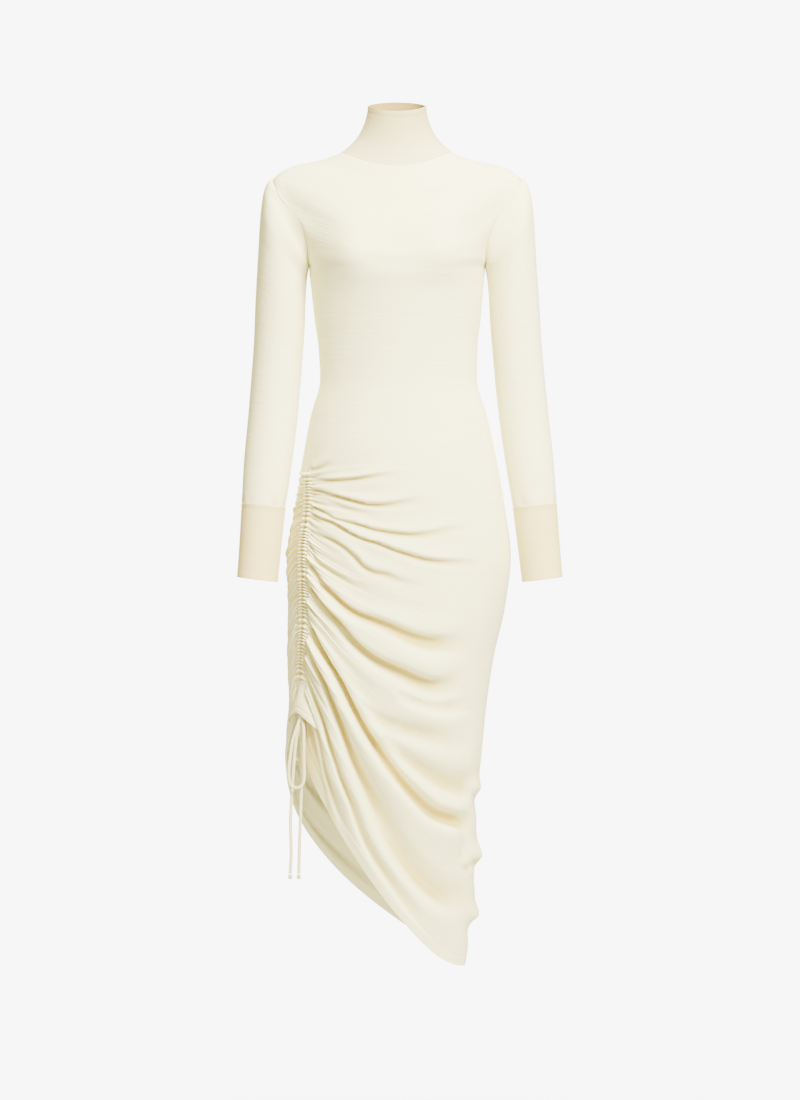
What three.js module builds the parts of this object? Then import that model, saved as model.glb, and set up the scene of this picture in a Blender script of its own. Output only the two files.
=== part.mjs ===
// A fine-knit sweater dress with a funnel neck, long sleeves with deep cuffs, and a slanting hem.
// The left side of the skirt (at -X) is gathered up on a drawcord channel, so its cloth fans out in folds.
// It is filled out as if worn, with nobody in it, and every piece is a thin wall of cloth.
// Millimetres. +Z is up and the front faces -Y. The origin is the middle of the neck seam.
import * as THREE from "three";

const WALL = 1.9; // one layer of the knit
const CUFF_WALL = 2.6; // the cuffs are knitted tighter and lie double
const SEAM_GAP = 0.3;
const NECK_SEAM = 8; // height of the neck seam at the sides of the neck
const HEM_LOW = -1292; // the hem's lowest point, at the side seam
const CHANNEL_TOP = -478; // course where the gathering starts
const CHANNEL_SHOULDER = 8; // over which the channel widens from nothing
const CHANNEL_HALF = 4.6; // half the channel's width, in degrees round the skirt
const CHANNEL_MARGIN = 0.2; // degrees left free between it and each panel
const SIDE_SEAM_HALF = 0.07; // half the gap of the seam above it, in degrees
const ARCH_START = -1210; // course under which the channel opens into an arch
const ARCH_FLARE = 2.2; // degrees added to each side there
const ARCH_LIFT = { from: -1180, to: -1290, rise: 9 }; // courses over which it lifts off the seam, and how far
const DEGREE = Math.PI / 180;

// The garment's horizontal form, by height: how far it reaches to each side, how deep it is at the
// middle of the front and back, the depth at which the side seams lie, and how rounded the panels are.
const RINGS = [
  { height: 12, left: 80, right: 80, front: -60, back: 60, seam: 3, round: 1 },
  { height: 8, left: 86, right: 86, front: -63, back: 64, seam: 4, round: 1 },
  { height: 3, left: 96, right: 96, front: -67, back: 68, seam: 5, round: 1 },
  { height: -6, left: 119, right: 119, front: -72, back: 74, seam: 6, round: 1.1 },
  { height: -14, left: 146, right: 146, front: -77, back: 79, seam: 7, round: 1.2 },
  { height: -22, left: 171, right: 171, front: -82, back: 83, seam: 8, round: 1.3 },
  { height: -31, left: 187, right: 187, front: -87, back: 86, seam: 8, round: 1.35 },
  { height: -41, left: 193, right: 193, front: -92, back: 89, seam: 8, round: 1.35 },
  { height: -66, left: 188, right: 188, front: -100, back: 94, seam: 8, round: 1.35 },
  { height: -88, left: 170, right: 170, front: -104, back: 96, seam: 8, round: 1.3 },
  { height: -109, left: 156, right: 156, front: -107, back: 97, seam: 8, round: 1.25 },
  { height: -123, left: 149, right: 149, front: -109, back: 98, seam: 8, round: 1.2 },
  { height: -150, left: 142, right: 142, front: -112, back: 99, seam: 8, round: 1.1 },
  { height: -168, left: 141, right: 141, front: -112, back: 98, seam: 8, round: 1 },
  { height: -176, left: 141, right: 141, front: -112, back: 98, seam: 8, round: 1 },
  { height: -215, left: 137, right: 138, front: -105, back: 94, seam: 6, round: 0.96 },
  { height: -260, left: 132, right: 134, front: -97, back: 88, seam: 4, round: 0.95 },
  { height: -304, left: 126, right: 129, front: -91, back: 82, seam: 2, round: 0.95 },
  { height: -356, left: 123, right: 128, front: -88, back: 78, seam: 0, round: 0.95 },
  { height: -416, left: 138, right: 144, front: -95, back: 90, seam: 0, round: 0.95 },
  { height: -480, left: 150, right: 158, front: -106, back: 108, seam: 0, round: 0.95 },
  { height: -560, left: 163, right: 172, front: -113, back: 122, seam: 0, round: 0.95 },
  { height: -640, left: 176, right: 182, front: -116, back: 126, seam: 0, round: 0.95 },
  { height: -720, left: 174, right: 173, front: -115, back: 121, seam: 0, round: 0.95 },
  { height: -800, left: 174, right: 155, front: -111, back: 113, seam: 0, round: 0.95 },
  { height: -880, left: 172, right: 143, front: -106, back: 105, seam: 0, round: 0.95 },
  { height: -960, left: 178, right: 135, front: -100, back: 98, seam: 0, round: 0.95 },
  { height: -1040, left: 173, right: 127, front: -94, back: 91, seam: 0, round: 0.95 },
  { height: -1120, left: 160, right: 127, front: -88, back: 85, seam: 0, round: 0.95 },
  { height: -1200, left: 147, right: 123, front: -82, back: 80, seam: 0, round: 0.95 },
  { height: -1310, left: 128, right: 106, front: -76, back: 74, seam: 0, round: 0.95 },
];

// The knit's courses run round the body. Each is named by its height at the right side seam, and the
// columns say how it runs: its height at the left seam, how far its middle lies under that seam in front
// and behind, how much it drops beside the channel, how steeply it falls away from the channel,
// and where the left seam lies, in degrees forward of the side.
const COURSES = [
  { course: 12, left: 12, frontDip: -27, backDip: 7, frontArch: 0, backArch: 0, frontFall: 2, backFall: 2, seam: 0 },
  { course: 8, left: 8, frontDip: -29, backDip: 7, frontArch: 0, backArch: 0, frontFall: 2, backFall: 2, seam: 0 },
  { course: -41, left: -41, frontDip: -57, backDip: -26, frontArch: 0, backArch: 0, frontFall: 2, backFall: 2, seam: 0 },
  { course: -88, left: -88, frontDip: -48, backDip: -26, frontArch: 0, backArch: 0, frontFall: 2, backFall: 2, seam: 0 },
  { course: -176, left: -176, frontDip: -14, backDip: -9, frontArch: 0, backArch: 0, frontFall: 2, backFall: 2, seam: 0 },
  { course: -260, left: -260, frontDip: -5, backDip: -3, frontArch: 0, backArch: 0, frontFall: 2, backFall: 2, seam: 0 },
  { course: -370, left: -374, frontDip: 0, backDip: 0, frontArch: 0, backArch: 0, frontFall: 2.6, backFall: 2.2, seam: 3 },
  { course: -477, left: -500, frontDip: 0, backDip: 0, frontArch: 0, backArch: 0, frontFall: 3.2, backFall: 2.4, seam: 23 },
  { course: -620, left: -568, frontDip: 0, backDip: 0, frontArch: 2, backArch: 2, frontFall: 3, backFall: 2.3, seam: 30 },
  { course: -800, left: -655, frontDip: 0, backDip: 0, frontArch: 3, backArch: 3, frontFall: 2.4, backFall: 2.1, seam: 32 },
  { course: -1000, left: -742, frontDip: 0, backDip: 0, frontArch: 4, backArch: 4, frontFall: 2, backFall: 2, seam: 32 },
  { course: -1100, left: -787, frontDip: 0, backDip: 0, frontArch: 5, backArch: 5, frontFall: 1.95, backFall: 2, seam: 31 },
  { course: -1200, left: -838, frontDip: 0, backDip: 0, frontArch: 6, backArch: 6, frontFall: 2.2, backFall: 2.1, seam: 30 },
  { course: HEM_LOW, left: -886, frontDip: 0, backDip: 0, frontArch: 9, backArch: 7, frontFall: 2.92, backFall: 2.16, seam: 29 },
];

// The largest folds. Each is a ridge with a hollow under it. It lies on one course, and runs from
// one place round the skirt to another: 0 is the channel's front edge, 1 the right side seam, and 2
// the channel's back edge.
const FOLDS = [
  { course: -474, from: 0, to: 0.42, height: 3.5, width: 9 },
  { course: -508, from: 0, to: 0.85, height: 6, width: 11 },
  { course: -566, from: 0, to: 0.85, height: 7, width: 13 },
  { course: -612, from: 0, to: 0.8, height: 5.5, width: 11 },
  { course: -657, from: 0, to: 0.75, height: 6.5, width: 14 },
  { course: -708, from: 0, to: 0.85, height: 7.5, width: 16 },
  { course: -764, from: 0, to: 0.7, height: 7, width: 16 },
  { course: -815, from: 0, to: 0.75, height: 7.5, width: 17 },
  { course: -878, from: 0, to: 0.8, height: 9, width: 21 },
  { course: -958, from: 0, to: 0.7, height: 9, width: 25 },
  { course: -1010, from: 0.3, to: 1.3, height: 6, width: 14 },
  { course: -1062, from: 0, to: 0.6, height: 7, width: 16 },
  { course: -1118, from: 0, to: 1.35, height: 13, width: 19 },
  { course: -1166, from: 0, to: 0.7, height: 5, width: 12 },
  { course: -1212, from: 0, to: 1.35, height: 12, width: 17 },
  { course: -1257, from: 0, to: 0.7, height: 6, width: 13 },
  { course: -506, from: 2, to: 1.5, height: 4, width: 11 },
  { course: -550, from: 2, to: 1.2, height: 6, width: 13 },
  { course: -596, from: 2, to: 1.5, height: 5, width: 12 },
  { course: -644, from: 2, to: 1.25, height: 7, width: 15 },
  { course: -702, from: 2, to: 1.45, height: 6, width: 15 },
  { course: -756, from: 2, to: 1.2, height: 8, width: 18 },
  { course: -822, from: 2, to: 1.3, height: 7, width: 18 },
  { course: -890, from: 2, to: 1.2, height: 9, width: 21 },
  { course: -966, from: 2, to: 1.35, height: 8, width: 23 },
  { course: -1048, from: 2, to: 1.25, height: 9, width: 20 },
  { course: -1166, from: 2, to: 1.3, height: 8, width: 16 },
  { course: -1250, from: 2, to: 1.35, height: 6, width: 14 },
];

// The sleeve's rings from the shoulder down: its outer and inner side, its middle and half its
// depth, and how far the ring bows out towards the shoulder.
const SLEEVE_RINGS = [
  { outer: 203, outerHeight: -48, inner: 142, innerHeight: -179.5, middle: 8, depth: 54, bow: -4 },
  { outer: 210, outerHeight: -59, inner: 142.6, innerHeight: -183, middle: 8, depth: 57, bow: 4 },
  { outer: 216, outerHeight: -77, inner: 143.4, innerHeight: -189, middle: 8, depth: 58, bow: 9 },
  { outer: 219.5, outerHeight: -102, inner: 144.3, innerHeight: -198, middle: 8, depth: 57, bow: 9 },
  { outer: 221.5, outerHeight: -134, inner: 145.3, innerHeight: -211, middle: 8, depth: 55, bow: 6 },
  { outer: 224, outerHeight: -178, inner: 146.5, innerHeight: -231, middle: 8, depth: 53, bow: 3 },
  { outer: 227, outerHeight: -232, inner: 147.5, innerHeight: -264, middle: 9, depth: 51, bow: 0 },
  { outer: 229.5, outerHeight: -296, inner: 150.5, innerHeight: -312, middle: 9, depth: 48, bow: 0 },
  { outer: 234, outerHeight: -360, inner: 154.5, innerHeight: -368, middle: 7, depth: 46, bow: 0 },
  { outer: 239, outerHeight: -424, inner: 160, innerHeight: -429, middle: 1, depth: 44, bow: 0 },
  { outer: 244, outerHeight: -482, inner: 167, innerHeight: -487, middle: -8, depth: 41.5, bow: 0 },
  { outer: 246.5, outerHeight: -532, inner: 174, innerHeight: -538, middle: -16, depth: 39, bow: 0 },
  { outer: 247, outerHeight: -556, inner: 178, innerHeight: -563, middle: -20, depth: 37.5, bow: 0 },
];
const CUFF_RINGS = [
  { outer: 247.6, outerHeight: -556.4, inner: 177.4, innerHeight: -563.4, middle: -20, depth: 38.1, bow: 0 },
  { outer: 250.5, outerHeight: -615, inner: 183.5, innerHeight: -622, middle: -27, depth: 36.5, bow: 0 },
  { outer: 254, outerHeight: -673, inner: 189.5, innerHeight: -681, middle: -33, depth: 35.5, bow: 0 },
];
// The right arm hangs this much further out than the left, for each height under the armpit.
const RIGHT_ARM_LEAN = { out: 9, over: 500 };

// The funnel neck from its rim down to the neck seam, with the same columns as the form above.
const COLLAR_RINGS = [
  { height: 81, half: 46.5, front: -49, back: 37, frontDip: -16, backDip: 11 },
  { height: 69, half: 48.2, front: -50, back: 39, frontDip: -15, backDip: 11 },
  { height: 56, half: 51.2, front: -51, back: 42, frontDip: -15, backDip: 10 },
  { height: 43, half: 56.5, front: -53, back: 46, frontDip: -17, backDip: 9 },
  { height: 30, half: 64, front: -56, back: 51, frontDip: -21, backDip: 8 },
  { height: 18, half: 75, front: -59.5, back: 57.5, frontDip: -25, backDip: 7 },
  { height: 8.3, half: 85.4, front: -62.6, back: 63.4, frontDip: -28.8, backDip: 7 },
];

// The drawcords: knitted tubes that leave the channel's lower end, and are tied in a bow there.
const CORD = 4.4; // diameter
const KNOT = { x: -156, y: -59, z: -903, wide: 7.5, deep: 6, high: 8 };
const CORD_ROUTES = {
  cord_front_lead: [[-148.7, -58.6, -884], [-150, -58.6, -889], [-151.9, -57.4, -894.8]],
  cord_back_lead: [[-156.6, -48, -884], [-158.2, -52.4, -889], [-159.6, -57.4, -894.8]],
  cord_front_loop: [
    [-151.5, -62.6, -908.4], [-149.3, -66.5, -914], [-147.5, -70, -930], [-147, -72, -960], [-148.5, -73, -987],
    [-154, -73.5, -1001], [-161, -73.5, -1003.5], [-167, -73, -996], [-169.5, -72, -980], [-168, -71, -950],
    [-164.5, -69, -928], [-161.9, -66, -914], [-160.5, -62.6, -908.4],
  ],
  cord_back_loop: [
    [-151, -54.9, -908.9], [-149.5, -52.5, -915], [-149.5, -51, -937], [-152, -51, -958], [-156.5, -51, -966],
    [-161.5, -51, -957], [-163.5, -51, -937], [-162.5, -52.5, -915], [-161, -54.9, -908.9],
  ],
  cord_front_tail: [
    [-153.4, -59, -911.6], [-152, -60, -930], [-150.5, -61, -970], [-152, -61.5, -1040], [-154, -61, -1100],
    [-155, -60, -1141],
  ],
  cord_back_tail: [
    [-158.6, -59, -911.6], [-160, -60, -930], [-163.5, -61, -975], [-165.6, -61, -1010], [-168, -61, -1060],
    [-167, -60.5, -1110], [-168.5, -60, -1141],
  ],
};

// A smooth curve through one column of a table, which never overshoots its rows.
function columnOf(rows, along, name) {
  const points = rows.map((row) => [row[along], row[name]]).sort((a, b) => a[0] - b[0]);
  const steps = points.slice(1).map((p, i) => (p[1] - points[i][1]) / (p[0] - points[i][0]));
  const slopes = points.map((_, i) => {
    if (i === 0) return steps[0];
    if (i === points.length - 1) return steps[i - 1];
    const [before, after] = [steps[i - 1], steps[i]];
    return before * after <= 0 ? 0 : (2 * before * after) / (before + after);
  });
  return (x) => {
    let i = 0;
    while (i < points.length - 2 && x > points[i + 1][0]) i++;
    const [x0, y0] = points[i];
    const [x1, y1] = points[i + 1];
    const wide = x1 - x0;
    const t = THREE.MathUtils.clamp((x - x0) / wide, 0, 1);
    const rest = 1 - t;
    return (
      y0 * (1 + 2 * t) * rest * rest + y1 * t * t * (3 - 2 * t) +
      wide * t * rest * (slopes[i] * rest - slopes[i + 1] * t)
    );
  };
}

function columnsOf(rows, along) {
  const names = Object.keys(rows[0]).filter((name) => name !== along);
  const curves = names.map((name) => [name, columnOf(rows, along, name)]);
  return (x) => Object.fromEntries(curves.map(([name, curve]) => [name, curve(x)]));
}

const ringAt = columnsOf(RINGS, "height");
const courseAt = columnsOf(COURSES, "course");
const smooth = (x) => THREE.MathUtils.smoothstep(x, 0, 1);
const blend = THREE.MathUtils.lerp;
const range = (from, to, steps) => Array.from({ length: steps + 1 }, (_, i) => blend(from, to, i / steps));

// Two soft darted mounds in the front panel, as on a plain dress form.
const BUST = { across: 78, height: -162, wide: 42, above: 48, below: 42, depth: 19, spread: 1.6 };
function bustDepth(x, z) {
  const up = (z - BUST.height) / (z > BUST.height ? BUST.above : BUST.below);
  const mound = (side) => Math.exp(-(((x - side * BUST.across) / BUST.wide) ** 2) - up * up);
  return BUST.depth * (mound(1) + mound(-1));
}

// A fold is at first this much of its width and widens by as much again. It is steeper on the side
// of its hollow, whose depth and distance are in parts of the fold's height and width. It grows and
// fades over parts of its length.
const FOLD = { narrow: 0.7, widening: 0.7, steep: 1.5, hollow: 0.55, away: 1.5, grown: 0.12, fading: 0.4 };

// How far the cloth stands out of its form on a course, at a place from 0 to 2 round the skirt.
function foldHeight(course, place) {
  let height = 0;
  for (const fold of FOLDS) {
    const along = (place - fold.from) / (fold.to - fold.from);
    if (along <= 0 || along >= 1) continue;
    const width = fold.width * (FOLD.narrow + FOLD.widening * along);
    const off = (course - fold.course) / width;
    const ridge = Math.exp(-((off < 0 ? FOLD.steep * off : off) ** 2));
    const hollow = FOLD.hollow * Math.exp(-((off + FOLD.away) ** 2));
    const strength = smooth(along / FOLD.grown) * (1 - smooth((along - FOLD.fading) / (1 - FOLD.fading)));
    height += fold.height * strength * (ridge - hollow);
  }
  return height;
}

// Half the channel's width on a course, in degrees: nothing but the seam's gap above its top.
function channelHalf(course) {
  const flare = ARCH_FLARE * smooth((ARCH_START - course) / (ARCH_START - HEM_LOW));
  const opened = THREE.MathUtils.clamp((CHANNEL_TOP - course) / CHANNEL_SHOULDER, 0, 1);
  return (CHANNEL_HALF + flare) * opened + SIDE_SEAM_HALF;
}

// A point of the cloth. The place is 0 at the channel's front edge, 1 at the right side seam and 2
// at the channel's back edge. The channel itself runs from -1, its back edge, to 0 by way of its middle.
function bodyPoint(course, place, side) {
  const run = courseAt(course);
  const half = channelHalf(course);
  const inChannel = side === "channel";
  const front = side === "front" || (inChannel && place > -0.5);
  const arch = front ? run.frontArch : run.backArch;
  let angle, height;
  if (inChannel) {
    const off = 2 * place + 1;
    angle = (run.seam + off * (half - CHANNEL_MARGIN)) * DEGREE;
    height = run.left - arch * off * off;
  } else {
    const along = front ? place : 2 - place;
    const start = front ? run.seam + half : half - run.seam;
    angle = blend(start, 180, along) * DEGREE * (front ? 1 : -1);
    const fall = front ? run.frontFall : run.backFall;
    height = blend(run.left - arch, course, 1 - Math.abs(1 - along) ** fall);
  }
  const ring = ringAt(height);
  const forward = Math.sin(angle) >= 0;
  const depth = forward ? ring.front : ring.back;
  const sine = Math.abs(Math.sin(angle));
  const turn = sine ** ring.round;
  const x = (ring.right - ring.left) / 2 - ((ring.right + ring.left) / 2) * Math.cos(angle);
  const dip = (forward ? run.frontDip : run.backDip) * turn * turn;
  const z = height + dip;
  let y = ring.seam + (depth - ring.seam) * turn;
  const rise = SHOULDER.rise * Math.min(1, SHOULDER.quickness * sine);
  y += (front ? -1 : 1) * armholeDepth(height, rise) * (1 - sine) ** SHOULDER.fade;
  if (forward) y -= bustDepth(x, z) * smooth(turn * BUST.spread);
  return new THREE.Vector3(x, y, z);
}

// The armholes are upright rounds, as deep as this to the front and back of the side seam. Away
// from them the panel swells from higher up, which rounds the shoulder.
const ARMHOLE = { top: -41, bottom: -176, depth: 52 };
const SHOULDER = { rise: 30, quickness: 3, fade: 1.6 };
function armholeDepth(height, rise = 0) {
  const down = (ARMHOLE.top + rise - height) / (ARMHOLE.top + rise - ARMHOLE.bottom);
  return down <= 0 || down >= 1 ? 0 : 2 * ARMHOLE.depth * Math.sqrt(down * (1 - down));
}

// The direction that the cloth faces at a place, from a small step each way.
const STEP = { down: 1, across: 1e-3 };
function facingAt(pointAt, u, v) {
  const across = pointAt(u, v + STEP.across).sub(pointAt(u, v - STEP.across));
  const down = pointAt(u - STEP.down, v).sub(pointAt(u + STEP.down, v));
  return down.cross(across).normalize();
}

// A grid of cloth: its outer points, with the relief moved out, and its inner points a wall's
// thickness inside the plainer relief. The wall of an edge may face as the cloth does further in.
function clothGrid(rows, places, pointAt, relief, plain = relief, inset = () => 0) {
  const moved = (u, v, distance) => {
    const inside = THREE.MathUtils.clamp(v, places[0] + inset(u), places.at(-1) - inset(u));
    return pointAt(u, v).addScaledVector(facingAt(pointAt, u, inside), distance);
  };
  return {
    outer: rows.map((u) => places.map((v) => moved(u, v, relief(u, v)))),
    inner: rows.map((u) => places.map((v) => moved(u, v, plain(u, v) - WALL))),
  };
}

// A closed wall from two grids of points of the same size. A tube's last column joins its first.
// The faces' diagonals run the other way where mirrored() says so, which keeps both sides alike.
function wallGeometry({ outer, inner }, tube = false, mirrored = () => false) {
  const high = outer.length;
  const wide = outer[0].length;
  const points = [...outer.flat(), ...inner.flat()];
  const index = [];
  const at = (layer, row, column) => layer * high * wide + row * wide + (column % wide);
  const quad = (a, b, c, d, turned = false) => index.push(...(turned ? [b, c, d, b, d, a] : [a, b, c, a, c, d]));
  for (let row = 0; row < high - 1; row++)
    for (let column = 0; column < wide - (tube ? 0 : 1); column++)
      for (const layer of [0, 1]) {
        const corners = [
          at(layer, row, column), at(layer, row + 1, column), at(layer, row + 1, column + 1), at(layer, row, column + 1),
        ];
        quad(...(layer ? corners.reverse() : corners), mirrored(column));
      }
  for (let column = 0; column < wide - (tube ? 0 : 1); column++) {
    quad(at(0, 0, column + 1), at(1, 0, column + 1), at(1, 0, column), at(0, 0, column));
    quad(at(0, high - 1, column), at(1, high - 1, column), at(1, high - 1, column + 1), at(0, high - 1, column + 1));
  }
  if (!tube)
    for (let row = 0; row < high - 1; row++) {
      quad(at(0, row, 0), at(1, row, 0), at(1, row + 1, 0), at(0, row + 1, 0));
      quad(at(0, row + 1, wide - 1), at(1, row + 1, wide - 1), at(1, row, wide - 1), at(0, row, wide - 1));
    }
  const geometry = new THREE.BufferGeometry();
  geometry.setAttribute("position", new THREE.Float32BufferAttribute(points.flatMap((p) => p.toArray()), 3));
  geometry.setIndex(index);
  geometry.computeVertexNormals();
  return geometry;
}

const MATERIALS = {
  knit: new THREE.MeshStandardMaterial({ color: 0xf3f0e2, roughness: 0.95, metalness: 0, side: THREE.DoubleSide }),
  rib: new THREE.MeshStandardMaterial({ color: 0xece4cf, roughness: 0.95, metalness: 0, side: THREE.DoubleSide }),
  cord: new THREE.MeshStandardMaterial({ color: 0xece6d6, roughness: 0.95, metalness: 0 }),
};

const dress = new THREE.Group();
function addPiece(name, geometry, material) {
  const mesh = new THREE.Mesh(geometry, material);
  mesh.name = name;
  dress.add(mesh);
}

// Front and back panels, each from the neck seam to the hem.
const SLEEVE_COLUMNS = 18;
// The armhole's height at a turn, from 0 at the shoulder tip to a half turn at the armpit. The
// panels have a row at the height of each of the sleeve's columns, so that their edges fit.
const armholeHeight = (turn) => blend(ARMHOLE.top, ARMHOLE.bottom, (1 - Math.cos(turn)) / 2);
const SHOULDER_ROWS = [NECK_SEAM - SEAM_GAP, -3, -13, -22, -31];
const ARMHOLE_ROWS = range(0, Math.PI, SLEEVE_COLUMNS / 2).map(armholeHeight);
const TORSO_ROWS = range(ARMHOLE.bottom, CHANNEL_TOP, 7).slice(1);
const CHANNEL_START = CHANNEL_TOP - CHANNEL_SHOULDER;
const SKIRT_STEPS = 39;
const ARCH_ROWS = range(ARCH_START, HEM_LOW, 6).slice(1);
const SKIRT_ROWS = [...range(CHANNEL_START, ARCH_START, SKIRT_STEPS), ...ARCH_ROWS];
const PANEL_ROWS = [...SHOULDER_ROWS, ...ARMHOLE_ROWS, ...TORSO_ROWS, ...SKIRT_ROWS];
const PANEL_COLUMNS = { front: 16, back: 14 };
const ARMHOLE_INSET = 0.04;
for (const side of ["front", "back"]) {
  const edge = side === "front" ? -SEAM_GAP / 2 : SEAM_GAP / 2;
  const [first, last] = side === "front" ? [0, 1] : [1, 2];
  const pointAt = (course, place) => {
    const point = bodyPoint(course, place, side);
    point.y += edge;
    return point;
  };
  const places = range(first, last, PANEL_COLUMNS[side]);
  const onLeft = (column) => column < PANEL_COLUMNS[side] / 2 === (side === "front");
  const inset = (course) => (armholeDepth(course) > 0 ? ARMHOLE_INSET : 0);
  const grid = clothGrid(PANEL_ROWS, places, pointAt, foldHeight, foldHeight, inset);
  addPiece(side + "_panel", wallGeometry(grid, false, onLeft), MATERIALS.knit);
}

// The drawcord channel, a narrow strip in the left side seam. It has two tunnels beside its
// middle seam, bunched into small gathers, and it flares into an open arch at the hem.
const GATHERS = SKIRT_STEPS;
const ROWS_PER_GATHER = 2;
const CHANNEL_COLUMNS = 4;
const CHANNEL_TIP = CHANNEL_TOP - 2; // its upper end lies just under the course where the panels part
const TUNNEL_RISE = 3;
const GATHER = { rise: 2.6, startsOver: 12, endsOver: 30 };
const channelPoint = (course, place) => bodyPoint(course, place, "channel");
function channelBase(course, place) {
  const across = 2 * place + 1;
  const lift = smooth((ARCH_LIFT.from - course) / (ARCH_LIFT.from - ARCH_LIFT.to));
  return SEAM_GAP + ARCH_LIFT.rise * lift * (1 - across * across);
}
function channelRelief(course, place) {
  const across = Math.abs(2 * place + 1);
  const tunnel = Math.sin(Math.PI * Math.min(across, 1)) ** 2;
  const row = ((CHANNEL_START - course) / (CHANNEL_START - ARCH_START)) * GATHERS;
  const gather = 0.5 - 0.5 * Math.cos(2 * Math.PI * row);
  const fade =
    smooth((course - ARCH_START) / GATHER.endsOver) * smooth((CHANNEL_START - course) / GATHER.startsOver);
  return channelBase(course, place) + fade * (TUNNEL_RISE * tunnel + GATHER.rise * gather * (1 - across ** 4));
}
const channelRows = [CHANNEL_TIP, ...range(CHANNEL_START, ARCH_START, GATHERS * ROWS_PER_GATHER), ...ARCH_ROWS];
addPiece(
  "drawcord_channel",
  wallGeometry(clothGrid(channelRows, range(-1, 0, CHANNEL_COLUMNS), channelPoint, channelRelief, channelBase)),
  MATERIALS.knit,
);

// The funnel neck.
const COLLAR_COLUMNS = 28;
const COLLAR_SIDE = { depth: 4, follow: 0.125 }; // where its sides lie, and how far they follow its depths
function ringPoint(ring, angle) {
  const turn = Math.sin(angle);
  const front = turn >= 0;
  const edge = COLLAR_SIDE.depth + (ring.front + ring.back) * COLLAR_SIDE.follow;
  return new THREE.Vector3(
    -ring.half * Math.cos(angle),
    edge + ((front ? ring.front : ring.back) - edge) * Math.abs(turn),
    ring.height + (front ? ring.frontDip : ring.backDip) * turn * turn,
  );
}
const collarAt = columnsOf(COLLAR_RINGS, "height");
const collarPoint = (height, angle) => ringPoint({ height, ...collarAt(height) }, angle);
const roundOf = (count) => range(0, 2 * Math.PI, count).slice(0, -1);
addPiece(
  "funnel_neck",
  wallGeometry(
    clothGrid(COLLAR_RINGS.map((ring) => ring.height), roundOf(COLLAR_COLUMNS), collarPoint, () => 0),
    true,
  ),
  MATERIALS.rib,
);

// A point of the armhole: the front panel's edge down to the armpit, and the back panel's up again.
const ARMHOLE_GAP = 1.1;
function armholePoint(turn, arm) {
  const height = armholeHeight(turn);
  const ring = ringAt(height);
  const front = turn <= Math.PI;
  const reach = arm < 0 ? ring.left : ring.right;
  const depth = (front ? -1 : 1) * armholeDepth(height);
  return new THREE.Vector3(arm * (reach + ARMHOLE_GAP), ring.seam + depth, height);
}

// A point of a sleeve or cuff ring, on the arm at -1 (left) or 1 (right).
function armPoint(ring, turn, arm) {
  const along = Math.cos(turn);
  const depth = Math.sin(turn);
  const x = blend(ring.inner, ring.outer, (1 + along) / 2) + ring.bow * depth * depth;
  const z = blend(ring.innerHeight, ring.outerHeight, (1 + along) / 2);
  const lean = arm > 0 ? (RIGHT_ARM_LEAN.out * Math.max(0, ARMHOLE.bottom - z)) / RIGHT_ARM_LEAN.over : 0;
  return new THREE.Vector3(arm * (x + lean), ring.middle - ring.depth * depth, z);
}

for (const [name, arm] of [["left", -1], ["right", 1]]) {
  const turns = roundOf(SLEEVE_COLUMNS);
  // Walks the turns so that the faces point out on both arms.
  if (arm > 0) turns.reverse();
  const rings = [
    turns.map((turn) => armholePoint(turn, arm)),
    ...SLEEVE_RINGS.map((ring) => turns.map((turn) => armPoint(ring, turn, arm))),
  ];
  addPiece(name + "_sleeve", wallGeometry(shellOf(rings, WALL), true, () => arm < 0), MATERIALS.knit);
  const cuff = CUFF_RINGS.map((ring) => turns.map((turn) => armPoint(ring, turn, arm)));
  addPiece(name + "_cuff", wallGeometry(shellOf(cuff, CUFF_WALL), true, () => arm < 0), MATERIALS.rib);
}

// A tube's rings with a second set a wall's thickness inside them.
function shellOf(rings, wall) {
  const wide = rings[0].length;
  const inner = rings.map((ring, row) => {
    const above = rings[Math.max(0, row - 1)];
    const below = rings[Math.min(rings.length - 1, row + 1)];
    return ring.map((point, i) => {
      const across = ring[(i + 1) % wide].clone().sub(ring[(i + wide - 1) % wide]);
      const down = below[i].clone().sub(above[i]);
      return point.clone().addScaledVector(down.cross(across).normalize(), -wall);
    });
  });
  return { outer: rings, inner };
}

// The drawcords and the bow's knot.
const CORD_QUARTER = 2; // sides in each quarter of its section
const CORD_STEPS = { lead: 3, loop: 26, tail: 18 }; // rings along each kind of stretch
function cordGeometry(points, steps) {
  const route = new THREE.CatmullRomCurve3(points.map((p) => new THREE.Vector3(...p)));
  const section = new THREE.Shape();
  section.absarc(0, 0, CORD / 2, 0, 2 * Math.PI);
  return new THREE.ExtrudeGeometry(section, {
    steps,
    curveSegments: 2 * CORD_QUARTER,
    bevelEnabled: false,
    extrudePath: route,
  });
}
for (const [name, points] of Object.entries(CORD_ROUTES))
  addPiece(name, cordGeometry(points, CORD_STEPS[name.split("_").at(-1)]), MATERIALS.cord);

const BALL_SIDES = { round: 12, up: 8 };
function ball(wide, deep, high, x, y, z) {
  return new THREE.SphereGeometry(1, BALL_SIDES.round, BALL_SIDES.up).scale(wide, deep, high).translate(x, y, z);
}
addPiece("bow_knot", ball(KNOT.wide, KNOT.deep, KNOT.high, KNOT.x, KNOT.y, KNOT.z), MATERIALS.cord);
const END_KNOT = { wide: 3.4, high: 4.4 };
for (const tail of ["front", "back"]) {
  const [x, y, z] = CORD_ROUTES["cord_" + tail + "_tail"].at(-1);
  addPiece(
    "end_knot_" + tail,
    ball(END_KNOT.wide, END_KNOT.wide, END_KNOT.high, x, y, z - END_KNOT.high - SEAM_GAP),
    MATERIALS.cord,
  );
}

export default dress;
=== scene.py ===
import math

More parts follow.
